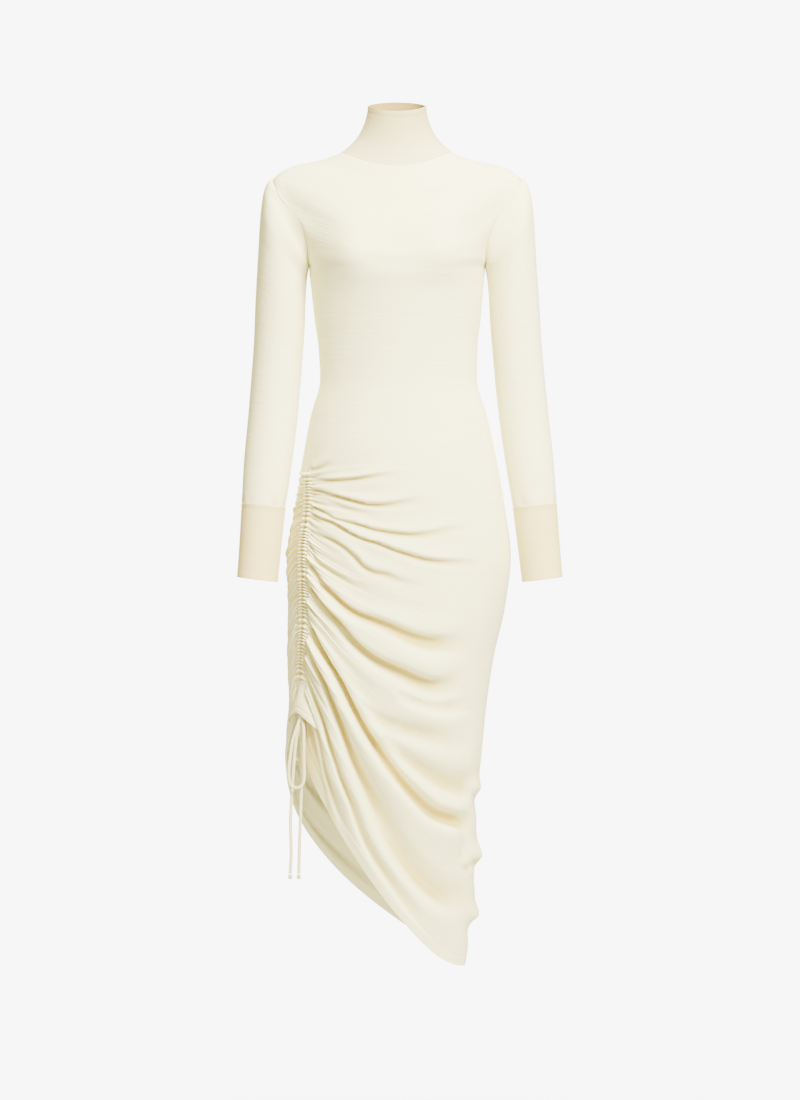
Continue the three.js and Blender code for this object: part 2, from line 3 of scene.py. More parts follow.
import bpy
import numpy as np
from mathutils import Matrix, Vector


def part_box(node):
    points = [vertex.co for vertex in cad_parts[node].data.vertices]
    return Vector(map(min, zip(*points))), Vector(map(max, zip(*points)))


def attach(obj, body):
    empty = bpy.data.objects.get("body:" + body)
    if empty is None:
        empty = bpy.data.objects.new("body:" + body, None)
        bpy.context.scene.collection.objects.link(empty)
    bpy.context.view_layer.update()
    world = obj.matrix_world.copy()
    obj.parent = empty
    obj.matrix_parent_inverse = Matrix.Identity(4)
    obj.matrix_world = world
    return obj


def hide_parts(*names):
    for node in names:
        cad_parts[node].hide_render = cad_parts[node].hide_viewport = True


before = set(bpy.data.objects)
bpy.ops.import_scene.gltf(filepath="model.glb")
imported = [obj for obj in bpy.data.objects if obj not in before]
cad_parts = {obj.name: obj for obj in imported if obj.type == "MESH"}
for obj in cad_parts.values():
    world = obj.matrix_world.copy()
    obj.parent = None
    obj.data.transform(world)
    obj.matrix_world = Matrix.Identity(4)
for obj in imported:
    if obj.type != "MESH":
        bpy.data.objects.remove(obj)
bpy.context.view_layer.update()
bpy.ops.object.select_all(action="DESELECT")

# Camera
# The picture is taken from straight in front, level with the middle of the dress, and from far enough
# away to keep its upright lines parallel. It takes in 1.28 by 1.76 metres at the dress.
EYE_AWAY = 4.5
EYE_HEIGHT = -0.63
VIEW_HEIGHT = 1.76
VIEW_ASIDE = 0.0048  # the dress stands this far to the left of the picture's middle
SENSOR = 36
camera_data = bpy.data.cameras.new("camera")
camera_data.sensor_width = SENSOR
camera_data.lens = SENSOR * EYE_AWAY / VIEW_HEIGHT
camera_data.shift_x = VIEW_ASIDE / VIEW_HEIGHT
camera_data.dof.use_dof = False
camera = bpy.data.objects.new("camera", camera_data)
camera.location = (0, -EYE_AWAY, EYE_HEIGHT)
camera.rotation_euler = (math.pi / 2, 0, 0)
bpy.context.scene.collection.objects.link(camera)
bpy.context.scene.camera = camera

# Drawcords
# Each is a limp tube of ivory yarn, knitted on a few needles, which lies slightly flat. It comes out of the
# channel's lower end, goes through the knot of the bow and hangs down as a free tail with a knot in its end.
CORD = 4.4e-3  # diameter
CORD_WIDE = 5.1e-3
CORD_THICK = 3.5e-3
CORD_SIDES = 16
CORD_STEP = 1.2e-3
CORD_ROUTES = {
    "front_cord": [
        (-148.7, -58.6, -884), (-149.4, -58.6, -889), (-150, -57.6, -893), (-150.6, -57.5, -898),
        (-151, -59, -908), (-151, -60, -930), (-150.5, -61, -970), (-152, -61.5, -1040), (-154, -61, -1100),
        (-155, -60, -1141),
    ],
    "back_cord": [
        (-156.6, -48, -884), (-156.4, -52.4, -888), (-155, -56, -893), (-154, -57.5, -898), (-155, -59, -908),
        (-159, -60, -930), (-163.5, -61, -975), (-165.6, -61, -1010), (-168, -61, -1060),
        (-167, -60.5, -1110), (-168.5, -60, -1141),
    ],
    "front_loop": [
        (-149.5, -61.5, -899), (-147.6, -66, -907), (-146.8, -70, -926), (-146.6, -72, -960), (-147, -73, -993),
        (-148.5, -73.1, -998.6), (-152.6, -73.3, -1002.7), (-158.2, -73.4, -1004.2), (-163.8, -73.3, -1002.7),
        (-167.9, -73.1, -998.6), (-169.4, -73, -993), (-168.2, -71, -955), (-163.5, -69, -927),
        (-158, -66, -911), (-154, -61.5, -899),
    ],
    "back_loop": [
        (-150.5, -54.5, -899), (-149.2, -52.5, -911), (-148.4, -51, -933), (-148.5, -51, -952),
        (-149.7, -51, -956.4), (-152.9, -51, -959.6), (-157.3, -51, -960.8), (-161.7, -51, -959.6),
        (-164.9, -51, -956.4), (-166.1, -51, -952), (-164.6, -51, -933), (-159.5, -52.5, -911),
        (-154, -54.5, -899),
    ],
}


def smooth_rows(points, parts):
    """Points on smooth curves through rows of points, with so many parts between one row and the next."""
    points = np.asarray(points, float)
    spread = points.reshape(len(points), -1)
    gaps = np.linalg.norm(np.diff(spread, axis=0), axis=1)[:, None]
    steps = np.diff(spread, axis=0) / gaps
    middle = (steps[:-1] * gaps[1:] + steps[1:] * gaps[:-1]) / (gaps[1:] + gaps[:-1])
    slopes = np.vstack([steps[:1], middle, steps[-1:]])
    t = np.linspace(0, 1, parts + 1)[None, :-1, None]
    start, end, gap = spread[:-1, None], spread[1:, None], gaps[:, None]
    curve = (
        start * (1 + 2 * t) * (1 - t) ** 2 + end * t * t * (3 - 2 * t)
        + gap * t * (1 - t) * (slopes[:-1, None] * (1 - t) - slopes[1:, None] * t)
    )
    curve = np.vstack([curve.reshape(-1, spread.shape[1]), spread[-1:]])
    return curve.reshape(-1, *points.shape[1:])


def evenly(line, step):
    """The same line with its points about a step apart."""
    run = np.concatenate([[0], np.cumsum(np.linalg.norm(np.diff(line, axis=0), axis=1))])
    places = np.linspace(0, run[-1], max(2, round(run[-1] / step) + 1))
    return np.stack([np.interp(places, run, line[:, i]) for i in range(line.shape[1])], axis=1), run[-1]


def new_piece(name, points, faces, corners, uv, hollow, material):
    """A mesh of its own, in metres, with UV from the cloth and how much shade is painted on each point, as its hollow
    attribute.
    """
    mesh = bpy.data.meshes.new(name)
    mesh.from_pydata(points.tolist(), [], faces)
    mesh.uv_layers.new(name="UVMap").data.foreach_set("uv", uv[corners].ravel())
    mesh.attributes.new("hollow", "FLOAT", "POINT").data.foreach_set("value", hollow)
    mesh.materials.append(material)
    piece = bpy.data.objects.new(name, mesh)
    bpy.context.scene.collection.objects.link(piece)
    bpy.context.view_layer.objects.active = piece
    piece.select_set(True)
    bpy.ops.object.shade_smooth_by_angle(angle=math.radians(60))
    piece.select_set(False)
    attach(piece, "root")
    return piece


def cord_piece(name, line, wide, thick, material):
    """A closed tube along a line, flattened across it."""
    along = np.gradient(line, axis=0)
    along /= np.linalg.norm(along, axis=1)[:, None]
    side = np.cross(along, (0, 1, 0))
    side /= np.linalg.norm(side, axis=1)[:, None]
    front = np.cross(side, along)
    turn = np.linspace(0, 2 * math.pi, CORD_SIDES + 1)
    ring = (
        side[:, None] * (wide / 2 * np.cos(turn))[None, :, None]
        + front[:, None] * (thick / 2 * np.sin(turn))[None, :, None]
    )
    tube = line[:, None] + ring
    run = np.concatenate([[0], np.cumsum(np.linalg.norm(np.diff(line, axis=0), axis=1))])
    uv = np.stack(np.meshgrid(turn * (wide + thick) / 4, run), axis=-1).reshape(-1, 2)
    ids = np.arange(tube.shape[0] * tube.shape[1]).reshape(tube.shape[:2])
    quads = np.stack([ids[:-1, :-1], ids[:-1, 1:], ids[1:, 1:], ids[1:, :-1]], axis=-1).reshape(-1, 4)
    caps = [ids[0, :-1][::-1].tolist(), ids[-1, :-1].tolist()]
    corners = np.concatenate([quads.ravel(), caps[0], caps[1]])
    wrapped = ids.copy()
    wrapped[:, -1] = ids[:, 0]
    wrapped = wrapped.ravel()
    used, joined = np.unique(wrapped, return_inverse=True)
    faces = joined[quads].tolist() + [joined[cap].tolist() for cap in caps]
    points = tube.reshape(-1, 3)[used]
    return new_piece(name, points, faces, corners, uv, np.zeros(len(points)), material)


def linear(code):
    """A colour's sRGB hex code as linear red, green, blue and alpha."""
    parts = [int(code[i : i + 2], 16) / 255 for i in (1, 3, 5)]
    return (*[c / 12.92 if c <= 0.04045 else ((c + 0.055) / 1.055) ** 2.4 for c in parts], 1)


def add(tree, kind, settings=(), **links):
    """Adds a node with its settings, then gives each named input a value or another node's output."""
    node = tree.nodes.new(kind)
    for key, value in dict(settings).items():
        setattr(node, key, value)
    for key, value in links.items():
        socket = node.inputs[int(key[1:])] if key[0] == "i" and key[1:].isdigit() else node.inputs[key.replace("_", " ")]
        if isinstance(value, bpy.types.NodeSocket):
            tree.links.new(value, socket)
        else:
            socket.default_value = value
    return node


def knitted(name, light, deep, wale, course, stitch, streak, sheen):
    """A knit: its colour, the deep colour of the shade painted into its hollows, the width and height of a
    stitch in metres, how far the stitches and the uneven courses stand out, and how much loose fibre lies on it."""
    material = bpy.data.materials.new(name)
    material.use_nodes = True
    tree = material.node_tree
    tree.nodes.clear()
    place = add(tree, "ShaderNodeTexCoord").outputs["UV"]
    parts = add(tree, "ShaderNodeSeparateXYZ", i0=place)
    # Each wale is a column of stitches, and each stitch a slanting pair of legs.
    half = add(tree, "ShaderNodeMath", {"operation": "MULTIPLY"}, i0=parts.outputs[0], i1=math.pi / wale)
    column = add(tree, "ShaderNodeMath", {"operation": "SINE"}, i0=half.outputs[0])
    column = add(tree, "ShaderNodeMath", {"operation": "ABSOLUTE"}, i0=column.outputs[0])
    slant = add(tree, "ShaderNodeMath", {"operation": "MULTIPLY"}, i0=column.outputs[0], i1=2.2)
    row = add(
        tree, "ShaderNodeMath", {"operation": "MULTIPLY_ADD"},
        i0=parts.outputs[1], i1=2 * math.pi / course, i2=slant.outputs[0],
    )
    row = add(tree, "ShaderNodeMath", {"operation": "SINE"}, i0=row.outputs[0])
    legs = add(
        tree, "ShaderNodeMath", {"operation": "MULTIPLY_ADD"}, i0=row.outputs[0], i1=0.35, i2=column.outputs[0],
    )
    # Uneven yarn makes some courses stand out, in streaks a hand long.
    stretched = add(tree, "ShaderNodeMapping", i0=place)
    stretched.inputs["Scale"].default_value = (14, 210, 1)
    courses = add(
        tree, "ShaderNodeTexNoise", {"noise_dimensions": "2D"},
        Vector=stretched.outputs[0], Scale=1.0, Detail=3.0, Roughness=0.6,
    )
    fibre = add(
        tree, "ShaderNodeTexNoise", {"noise_dimensions": "2D"}, Vector=place, Scale=900.0, Detail=2.0,
    )
    bumps = add(tree, "ShaderNodeBump", Height=courses.outputs[0], Strength=1.0, Distance=streak)
    bumps = add(
        tree, "ShaderNodeBump", Height=legs.outputs[0], Strength=1.0, Distance=stitch, Normal=bumps.outputs[0],
    )
    bumps = add(
        tree, "ShaderNodeBump", Height=fibre.outputs[0], Strength=0.5, Distance=stitch, Normal=bumps.outputs[0],
    )
    # Painted shade: the hollow attribute mixes the deep colour in where the cloth lies in creases, gathers and seams.
    hollow = add(tree, "ShaderNodeAttribute", {"attribute_name": "hollow"})
    tint = add(
        tree, "ShaderNodeMix", {"data_type": "RGBA"}, i0=hollow.outputs["Fac"], i6=linear(light), i7=linear(deep),
    )
    uneven = add(
        tree, "ShaderNodeMapRange", Value=courses.outputs[0], From_Min=0.25, From_Max=0.75, To_Min=0.965, To_Max=1.015,
    )
    tint = add(
        tree, "ShaderNodeVectorMath", {"operation": "SCALE"}, Vector=tint.outputs["Result"], Scale=uneven.outputs[0],
    )
    surface = add(
        tree, "ShaderNodeBsdfPrincipled", Base_Color=tint.outputs[0], Roughness=0.9, Normal=bumps.outputs[0],
        Sheen_Weight=sheen, Sheen_Roughness=0.45, Sheen_Tint=linear(light), Specular_IOR_Level=0.2,
    )
    add(tree, "ShaderNodeOutputMaterial", Surface=surface.outputs[0])
    return material


# Knitted tube cord: wool yarn in small upright stitches, which look like a plait.
# Its deep colour is painted shade, put over the end knots.
knitted_cord = knitted(
    "knitted_wool_cord", "#dcd3ac", "#cdb770", wale=2.2e-3, course=2.6e-3, stitch=2.5e-4, streak=5e-5, sheen=0.2
)
END_KNOTS = {"front_cord": "end_knot_front", "back_cord": "end_knot_back"}
cords = {}
for name, route in CORD_ROUTES.items():
    line, length = evenly(smooth_rows(np.array(route) * 1e-3, 12), CORD_STEP)
    cords[name] = cord_piece(name, line, CORD_WIDE, CORD_THICK, knitted_cord), line, length

# Bow knot
# The bow's loops and tails all come out of one small knot, which the two cords make where they wrap
# twice round each other under the end of the channel.
KNOT_MIDDLE = np.array((-151.5, -58, -896)) * 1e-3
KNOT_WRAP = {"turns": 2.2, "across": 3.4e-3, "deep": 3.2e-3, "rise": 4.3e-3}
turn = np.linspace(0, 2 * math.pi * KNOT_WRAP["turns"], 90)
wrap = np.stack([
    KNOT_WRAP["across"] * np.cos(turn), KNOT_WRAP["deep"] * np.sin(turn),
    KNOT_WRAP["rise"] * (turn / turn[-1] - 0.5) * KNOT_WRAP["turns"],
], axis=1)
wrap_line = KNOT_MIDDLE + wrap


def wrap_piece(name, line, size, material):
    """A closed tube along a line that turns about the upright."""
    along = np.gradient(line, axis=0)
    along /= np.linalg.norm(along, axis=1)[:, None]
    up = np.array((0, 0, 1.0)) - along * along[:, 2:]
    up /= np.linalg.norm(up, axis=1)[:, None]
    out = np.cross(along, up)
    turns = np.linspace(0, 2 * math.pi, CORD_SIDES + 1)
    tube = line[:, None] + size / 2 * (
        up[:, None] * np.sin(turns)[None, :, None] + out[:, None] * np.cos(turns)[None, :, None]
    )
    run = np.concatenate([[0], np.cumsum(np.linalg.norm(np.diff(line, axis=0), axis=1))])
    uv = np.stack(np.meshgrid(turns * size / 2, run), axis=-1).reshape(-1, 2)
    ids = np.arange(tube.shape[0] * tube.shape[1]).reshape(tube.shape[:2])
    quads = np.stack([ids[:-1, :-1], ids[:-1, 1:], ids[1:, 1:], ids[1:, :-1]], axis=-1).reshape(-1, 4)
    caps = [ids[0, :-1][::-1].tolist(), ids[-1, :-1].tolist()]
    corners = np.concatenate([quads.ravel(), caps[0], caps[1]])
    wrapped = ids.copy()
    wrapped[:, -1] = ids[:, 0]
    used, joined = np.unique(wrapped.ravel(), return_inverse=True)
    faces = joined[quads].tolist() + [joined[cap].tolist() for cap in caps]
    points = tube.reshape(-1, 3)[used]
    return new_piece(name, points, faces, corners, uv, np.zeros(len(points)), material)


bow_knot = wrap_piece("bow_wrap", wrap_line, CORD, knitted_cord)
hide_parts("bow_knot")

# End knots
# Each tail ends in a single knot of its own cord, pulled tight, with the cut end just out of it.
KNOT_RINGS = [  # tilt in degrees, and height above the knot's middle
    (24, 1.2e-3), (-28, -0.6e-3), (8, -2.0e-3),
]
END_KNOT_RING = {"major": 1.75e-3, "minor": 1.6e-3}
KNOT_SHADE = 0.9  # painted shade over the whole knot, as deep as in a hollow
for cord_name, node in END_KNOTS.items():
    low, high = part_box(node)
    middle = (np.array(low) + np.array(high)) / 2
    rings = []
    for tilt, height in KNOT_RINGS:
        bpy.ops.mesh.primitive_torus_add(
            major_radius=END_KNOT_RING["major"], minor_radius=END_KNOT_RING["minor"],
            major_segments=24, minor_segments=14,
            location=(middle[0], middle[1], middle[2] + height),
            rotation=(math.radians(tilt), math.radians(tilt / 2), 0),
        )
        rings.append(bpy.context.object)
    for ring in rings:
        ring.select_set(True)
    bpy.ops.object.join()
    knot = bpy.context.object
    bpy.ops.object.transform_apply(location=True, rotation=True, scale=True)
    remesh = knot.modifiers.new("merge", "REMESH")
    remesh.mode = "VOXEL"
    remesh.voxel_size = 2.5e-4
    bpy.ops.object.modifier_apply(modifier=remesh.name)
    relax = knot.modifiers.new("soften", "SMOOTH")
    relax.iterations = 3
    bpy.ops.object.modifier_apply(modifier=relax.name)
    bpy.ops.object.shade_smooth()
    knot.name = node.replace("end_knot", "tail_knot")
    knot.data.materials.clear()
    knot.data.materials.append(knitted_cord)
    shade = np.full(len(knot.data.vertices), KNOT_SHADE)
    knot.data.attributes.new("hollow", "FLOAT", "POINT").data.foreach_set("value", shade)
    knot.select_set(False)
    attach(knot, "root")
    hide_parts(node)
    cord, line, length = cords[cord_name]
    lead = cord_name.replace("cord", "lead")
    tail = cord_name.replace("cord", "tail")
    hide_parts("cord_" + lead, "cord_" + tail)
for name in ("front_loop", "back_loop"):
    cord, line, length = cords[name]
    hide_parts("cord_" + name)

# Front and back panels
# Two pieces of ivory merino jersey, each from the neck seam to the hem. Their left edges are far longer
# than the side they are sewn to, so they are gathered into the channel and fan out from it in folds.
WALL = 1.9  # millimetres, as all the sizes of cloth below
SEAM_LAP = 0.4  # the panels' edges lie this far into their seams
NECK_SEAM = 8
HEM_LOW = -1292
CHANNEL_TOP = -478
CHANNEL_SHOULDER = 8
CHANNEL_HALF = 4.6
CHANNEL_LAP = 0.3
ARCH_START = -1210
ARCH_FLARE = 2.2
# The form's rings, by height: the reach to each side, the depths, the side seams' depth, the rounding.
RING_NAMES = ("height", "left", "right", "front", "back", "seam", "round")
RINGS = [
    (12, 80, 80, -60, 60, 3, 1), (8, 86, 86, -63, 64, 4, 1), (3, 96, 96, -67, 68, 5, 1),
    (-6, 123, 123, -72, 74, 6, 1.1), (-14, 161, 161, -77, 79, 7, 1.2), (-22, 182, 182, -82, 83, 8, 1.3),
    (-31, 193, 193, -87, 86, 8, 1.35), (-41, 197, 197, -92, 89, 8, 1.35), (-66, 188, 188, -100, 94, 8, 1.35),
    (-88, 170, 170, -104, 96, 8, 1.3), (-109, 156, 156, -107, 97, 8, 1.25), (-123, 149, 149, -109, 98, 8, 1.2),
    (-150, 142, 142, -112, 99, 8, 1.1), (-168, 141, 141, -112, 98, 8, 1), (-176, 141, 141, -112, 98, 8, 1),
    (-215, 137, 138, -105, 94, 6, 0.96), (-260, 132, 134, -97, 88, 4, 0.95), (-304, 126, 129, -91, 82, 2, 0.95),
    (-356, 123, 128, -88, 78, 0, 0.95), (-416, 138, 144, -95, 90, 0, 0.95), (-480, 150, 158, -106, 108, 0, 0.95),
    (-560, 163, 172, -113, 122, 0, 0.95), (-640, 176, 182, -116, 126, 0, 0.95), (-720, 174, 173, -115, 121, 0, 0.95),
    (-800, 174, 155, -111, 113, 0, 0.95), (-880, 172, 143, -106, 105, 0, 0.95), (-960, 178, 135, -100, 98, 0, 0.95),
    (-1040, 173, 127, -94, 91, 0, 0.95), (-1120, 160, 127, -88, 85, 0, 0.95), (-1200, 147, 123, -82, 80, 0, 0.95),
    (-1310, 128, 106, -76, 74, 0, 0.95),
]
# The knit's courses, by height at the right side: the height at the left, the dips in front and behind,
# the drop beside the channel, how steeply a course falls from it, and where the left seam lies in degrees.
COURSE_NAMES = (
    "course", "left", "front_dip", "back_dip", "front_arch", "back_arch", "front_fall", "back_fall", "seam",
)
COURSES = [
    (12, 12, -27, 7, 0, 0, 2, 2, 0), (8, 8, -29, 7, 0, 0, 2, 2, 0), (-41, -41, -57, -26, 0, 0, 2, 2, 0),
    (-88, -88, -48, -26, 0, 0, 2, 2, 0), (-176, -176, -14, -9, 0, 0, 2, 2, 0), (-260, -260, -5, -3, 0, 0, 2, 2, 0),
    (-370, -374, 0, 0, 0, 0, 2.6, 2.2, 3), (-477, -500, 0, 0, 0, 0, 3.2, 2.4, 23), (-620, -568, 0, 0, 2, 2, 3, 2.3, 30),
    (-800, -655, 0, 0, 3, 3, 2.4, 2.1, 32), (-1000, -742, 0, 0, 4, 4, 2, 2, 32), (-1100, -787, 0, 0, 5, 5, 1.95, 2, 31),
    (-1200, -838, 0, 0, 6, 6, 2.2, 2.1, 30), (-1292, -886, 0, 0, 9, 7, 2.92, 2.16, 29),
]
BUST = {"across": 78, "height": -162, "wide": 42, "above": 48, "below": 42, "depth": 19}
ARMHOLE = {"top": -41, "bottom": -176, "depth": 52}
SHOULDER_RISE = 30
# In front of the armholes the cloth lies flat from the chest to the arm, so it is further forward there.
FULL_NAMES = ("height", "reach", "sine", "spread", "depth")
FULL = [(-122, 40, 0.2, 0.38, 12), (-60, 24, 0, 0.25, 8)]


def curves_of(names, rows):
    """Smooth curves through a table's columns, by its first one, which never overshoot its rows."""
    table = np.array(sorted(rows), float)
    x = table[:, 0]
    curves = {}
    for name, y in zip(names[1:], table.T[1:]):
        steps = np.diff(y) / np.diff(x)
        before, after = steps[:-1], steps[1:]
        turning = before * after <= 0
        middle = np.where(turning, 0, 2 * before * after / np.where(turning, 1, before + after))
        curves[name] = y, np.concatenate([steps[:1], middle, steps[-1:]])

    def at(places):
        i = np.clip(np.searchsorted(x, places, side="right") - 1, 0, len(x) - 2)
        wide = x[i + 1] - x[i]
        t = np.clip((places - x[i]) / wide, 0, 1)
        return {
            name: y[i] * (1 + 2 * t) * (1 - t) ** 2 + y[i + 1] * t * t * (3 - 2 * t)
            + wide * t * (1 - t) * (slopes[i] * (1 - t) - slopes[i + 1] * t)
            for name, (y, slopes) in curves.items()
        }

    return at


ring_at = curves_of(RING_NAMES, RINGS)
course_at = curves_of(COURSE_NAMES, COURSES)


def smooth(x):
    """From 0 to 1 as x goes from 0 to 1, level at both ends."""
    x = np.clip(x, 0, 1)
    return x * x * (3 - 2 * x)


def bell(x):
    return np.exp(-x * x)


def bust_depth(x, z):
    up = (z - BUST["height"]) / np.where(z > BUST["height"], BUST["above"], BUST["below"])
    mounds = sum(np.exp(-(((x - side * BUST["across"]) / BUST["wide"]) ** 2) - up * up) for side in (-1, 1))
    return BUST["depth"] * mounds


def armhole_depth(height, rise=0):
    """How far the upright round of an armhole lies in front of the side seam at a height."""
    top = ARMHOLE["top"] + rise
    down = np.clip((top - height) / (top - ARMHOLE["bottom"]), 0, 1)
    return 2 * ARMHOLE["depth"] * np.sqrt(down * (1 - down))


def fullness(height, sine):
    """How much further forward the cloth in front of an armhole lies, which ends at the shoulder's edge."""
    depth = sum(
        deep * bell((height - middle) / reach) * bell((sine - across) / spread)
        for middle, reach, across, spread, deep in FULL
    )
    return depth * smooth(armhole_depth(height, SHOULDER_RISE * np.minimum(1, 3 * sine)) / 25)


def channel_half(course):
    """Half the channel's width on a course, in degrees."""
    flare = ARCH_FLARE * smooth((ARCH_START - course) / (ARCH_START - HEM_LOW))
    return (CHANNEL_HALF + flare) * np.clip((CHANNEL_TOP - course) / CHANNEL_SHOULDER, 0, 1) + 0.07


# At the hem the channel opens into two wings over the panels: degrees that they reach further to the
# front and back, how far their hem drops, and how far they stand off. The front's corner is tucked
# under the front one.
WING = {"start": -1222, "front": 12, "back": 12, "front_drop": 19, "back_drop": 13, "lift": 4.5}
TUCK = {"start": -1205, "turn": 10.5, "peak": 0.04, "reach": 0.1, "depth": 8}


def wing_of(course, off):
    return smooth((WING["start"] - course) / (WING["start"] - HEM_LOW)) * np.abs(off) ** 1.5


def tuck_of(course, place):
    return smooth((TUCK["start"] - course) / (TUCK["start"] - HEM_LOW)) * bell((place - TUCK["peak"]) / TUCK["reach"])


def body_points(course, place, side):
    """The form of the body. Place 0 is the channel's front edge, 1 the right side and 2 its back edge."""
    run = course_at(course)
    half = channel_half(course)
    front = (place > -0.5) if side == "channel" else np.full(np.shape(place), side == "front")
    arch = np.where(front, run["front_arch"], run["back_arch"])
    if side == "channel":
        off = 2 * place + 1
        wing = wing_of(course, off)
        turned = wing * np.where(front, WING["front"], -WING["back"])
        angle = np.radians(run["seam"] + off * (half + CHANNEL_LAP) + turned)
        height = run["left"] - arch * off * off - wing * np.where(front, WING["front_drop"], WING["back_drop"])
    else:
        along = np.where(front, place, 2 - place)
        start = np.where(front, run["seam"] + half, half - run["seam"])
        tucked = TUCK["turn"] * tuck_of(course, place) if side == "front" else 0
        angle = np.radians(start + (180 - start) * along - tucked) * np.where(front, 1, -1)
        fall = np.where(front, run["front_fall"], run["back_fall"])
        top = run["left"] - arch
        height = top + (course - top) * (1 - np.abs(1 - along) ** fall)
    ring = ring_at(height)
    forward = np.sin(angle) >= 0
    sine = np.abs(np.sin(angle))
    turn = sine ** ring["round"]
    x = (ring["right"] - ring["left"]) / 2 - (ring["right"] + ring["left"]) / 2 * np.cos(angle)
    z = height + np.where(forward, run["front_dip"], run["back_dip"]) * turn * turn
    y = ring["seam"] + (np.where(forward, ring["front"], ring["back"]) - ring["seam"]) * turn
    shoulder = armhole_depth(height, SHOULDER_RISE * np.minimum(1, 3 * sine)) * (1 - sine) ** 1.6
    y = y + np.where(front, -1, 1) * shoulder - np.where(forward, bust_depth(x, z) * smooth(turn * 1.6), 0)
    y = y - np.where(front, fullness(height, sine), 0)
    return np.stack([x, y, z], axis=-1)


def facing(point_at, course, place):
    """The direction that the cloth faces, from a small step each way."""
    across = point_at(course, place + 1e-3) - point_at(course, place - 1e-3)
    down = point_at(course - 1, place) - point_at(course + 1, place)
    normal = np.cross(down, across)
    return normal / np.linalg.norm(normal, axis=-1, keepdims=True)


# The front's creases, as they are seen from straight in front: the depth, the width beside the channel
# and at the far end, how high the ridges over and under it are in parts of its depth, how far along
# it starts to fade, and points along the hollow. The ridges lean over it.
CREASES = [
    (5, 3, 5, 0.6, 0.1, 0.7, 0.4, [(-141, -501), (-126, -498), (-110, -491), (-96, -485)]),
    (7, 3, 6, 0.6, 0.1, 0.7, 0.4, [(-136, -517), (-91, -517), (-51, -514), (-11, -510), (21, -509)]),
    (9, 3, 9, 0.6, 0.15, 0.7, 0.4, [
        (-142, -531), (-115, -538), (-91, -544), (-72, -550), (-43, -557), (-11, -558), (13, -555),
        (37, -552), (69, -549),
    ]),
    (3, 4, 7, 0.4, 0.2, 1, 0.4, [(-107, -554), (-75, -565), (-40, -573), (-8, -578)]),
    (7, 2.5, 9, 0.55, 0.1, 0.8, 0.55, [
        (-147, -555), (-123, -566), (-99, -578), (-67, -587), (-35, -597), (-3, -603), (29, -606),
        (61, -603), (85, -598), (109, -594), (136, -590),
    ]),
    (8, 3, 8, 0.6, 0.1, 0.8, 0.65, [
        (-146, -563), (-126, -576), (-99, -587), (-75, -602), (-56, -611), (-30, -619), (-3, -630),
        (21, -638), (45, -645), (77, -650), (117, -651), (146, -651),
    ]),
    (4, 2.5, 4, 0.5, 0.2, 0.8, 0.5, [(-142, -574), (-130, -582), (-115, -589)]),
    (8, 4, 9, 0.5, 0.2, 0.9, 0.5, [
        (-146, -592), (-126, -605), (-104, -614), (-83, -627), (-66, -642), (-54, -656), (-40, -664),
        (-19, -670), (5, -680), (29, -685), (56, -688),
    ]),
    (5, 3, 8, 0.4, 0.3, 1, 0.4, [
        (-144, -614), (-134, -634), (-123, -650), (-107, -662), (-88, -675), (-72, -685), (-51, -691),
        (-27, -696),
    ]),
    (14, 4, 18, 0.45, 0.4, 1, 0.75, [
        (-155, -634), (-149, -642), (-136, -656), (-123, -674), (-112, -688), (-99, -702), (-83, -717),
        (-62, -731), (-35, -742), (-11, -752), (11, -763), (37, -773), (62, -778), (93, -778), (123, -773),
    ]),
    (17, 5, 22, 0.5, 0.4, 0.8, 0.75, [
        (-155, -659), (-142, -682), (-130, -699), (-120, -714), (-107, -730), (-94, -744), (-83, -758),
        (-72, -773), (-56, -789), (-35, -805), (-11, -818), (8, -827), (29, -838), (56, -848), (85, -848),
        (123, -838),
    ]),
    (4, 2.5, 4, 0.4, 0.4, 1, 0.5, [(-152, -694), (-144, -710), (-131, -731), (-123, -746)]),
    (27.5, 5, 15.5, 0.35, 0.5, 1.3, 0.93, [
        (-154, -710), (-142, -742), (-130, -774), (-112, -806), (-93, -838), (-75, -874), (-58, -906),
        (-40, -934), (-21, -962), (-2, -987), (18, -1011), (38, -1032), (59, -1050), (85, -1059),
        (120, -1069),
    ]),
    (18, 2.5, 27, 0.4, 0.55, 1.6, 0.9, [
        (-152, -746), (-144, -774), (-133, -806), (-118, -838), (-107, -866), (-96, -894), (-83, -926),
        (-69, -962), (-53, -995), (-35, -1030), (-19, -1062), (-2, -1094), (18, -1122), (42, -1149),
        (70, -1171), (117, -1195),
    ]),
    (9, 2.5, 11, 0.45, 0.5, 1.5, 0.75, [
        (-150, -798), (-144, -826), (-138, -846), (-128, -874), (-118, -902), (-109, -934), (-99, -966),
        (-88, -998), (-75, -1030), (-64, -1062), (-50, -1098), (-32, -1130), (-13, -1158), (10, -1190),
        (37, -1222), (75, -1254),
    ]),
    (6, 2.5, 6, 0.4, 0.4, 1.4, 0.6, [
        (-147, -854), (-141, -880), (-134, -899), (-126, -926), (-120, -962), (-112, -995), (-102, -1026),
        (-88, -1062), (-72, -1096),
    ]),
    (8, 12, 18, 0.35, 0.3, 1, 0.6, [(-56, -880), (-30, -899), (5, -914), (53, -926), (109, -934)]),
    (17, 12, 27, 0.3, 0.3, 1.2, 0.9, [(-19, -931), (8, -957), (45, -982), (82, -1002), (123, -1011)]),
    (8, 8, 14, 0.4, 0.4, 1, 0.6, [(5, -861), (40, -875), (85, -880), (126, -870)]),
    (3.2, 6, 8, 0.5, 0.4, 0.7, 0.9, [(101, -1139), (110, -1138), (122, -1131), (139, -1123)]),
    (3, 4, 4, 0.5, 0.3, 1.3, 0.7, [(96, -1099), (101, -1123), (114, -1149), (125, -1168)]),
]
RIDGE_LEAN = 0.5
